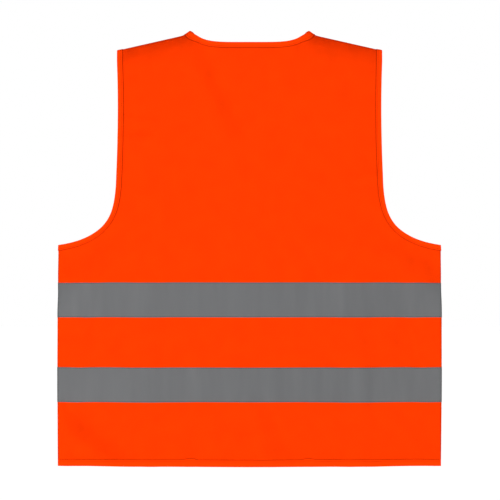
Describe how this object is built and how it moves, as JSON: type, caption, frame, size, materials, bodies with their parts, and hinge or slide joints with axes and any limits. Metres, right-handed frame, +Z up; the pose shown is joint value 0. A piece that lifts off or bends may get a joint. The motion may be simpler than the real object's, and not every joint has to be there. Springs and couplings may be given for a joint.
{
  "type": "high visibility vest",
  "caption": "Sleeveless orange safety waistcoat with grey reflective tapes round the body, bound edges and touch-fastener front, hanging upright.",
  "frame": {"origin": "on the shoulder line's level, midway between the two neck points, where the vest is held up", "axes": "+Z up, +Y the way the wearer faces, so the back of the vest faces -Y and the wearer's left is -X"},
  "size_m": [0.5512, 0.1214, 0.626],
  "materials": {
    "orange_knit": "matt fluorescent orange warp knit",
    "orange_binding": "woven orange binding tape, slightly lighter than the cloth",
    "grey_reflective_tape": "fine grey glass-bead retroreflective tape, satin",
    "hook_fastener": "orange nylon hook tape",
    "loop_fastener": "orange nylon loop tape, fuzzy",
    "white_label": "white satin label ribbon, blank"
  },
  "bodies": {
    "back_and_sides": {"back_panel": "orange_knit", "left_front_side_panel": "orange_knit", "right_front_side_panel": "orange_knit", "back_upper_tape": "grey_reflective_tape", "left_upper_side_tape": "grey_reflective_tape", "right_upper_side_tape": "grey_reflective_tape", "back_lower_tape": "grey_reflective_tape", "left_lower_side_tape": "grey_reflective_tape", "right_lower_side_tape": "grey_reflective_tape", "neck_binding": "orange_binding", "left_armhole_binding": "orange_binding", "right_armhole_binding": "orange_binding", "back_hem_binding": "orange_binding", "left_side_hem": "orange_binding", "right_side_hem": "orange_binding", "left_shoulder_seam": "orange_knit", "left_side_seam": "orange_knit", "right_shoulder_seam": "orange_knit", "right_side_seam": "orange_knit", "size_label": "white_label", "care_label": "white_label"},
    "left_front": {"left_front_flap": "orange_knit", "left_upper_flap_tape": "grey_reflective_tape", "left_lower_flap_tape": "grey_reflective_tape", "left_front_edge_binding": "orange_binding", "left_flap_hem": "orange_binding", "upper_hook_patch": "hook_fastener", "middle_hook_patch": "hook_fastener", "lower_hook_patch": "hook_fastener"},
    "right_front": {"right_front_flap": "orange_knit", "right_upper_flap_tape": "grey_reflective_tape", "right_lower_flap_tape": "grey_reflective_tape", "right_front_edge_binding": "orange_binding", "right_flap_hem": "orange_binding", "upper_loop_patch": "loop_fastener", "middle_loop_patch": "loop_fastener", "lower_loop_patch": "loop_fastener"}
  },
  "joints": [
    {"name": "left_front_opening", "type": "hinge", "parent": "back_and_sides", "child": "left_front", "pos_m": [-0.0677, 0.0264, -0.068], "axis": [0.1463, -0.0411, 0.9884], "range_deg": [0, 150]},
    {"name": "right_front_opening", "type": "hinge", "parent": "back_and_sides", "child": "right_front", "pos_m": [0.0677, 0.0264, -0.068], "axis": [0.1463, 0.0411, -0.9884], "range_deg": [0, 90]}
  ],
  "couplings": [
    {"joint": "right_front_opening", "follows": "left_front_opening", "ratio": 0.6}
  ]
}
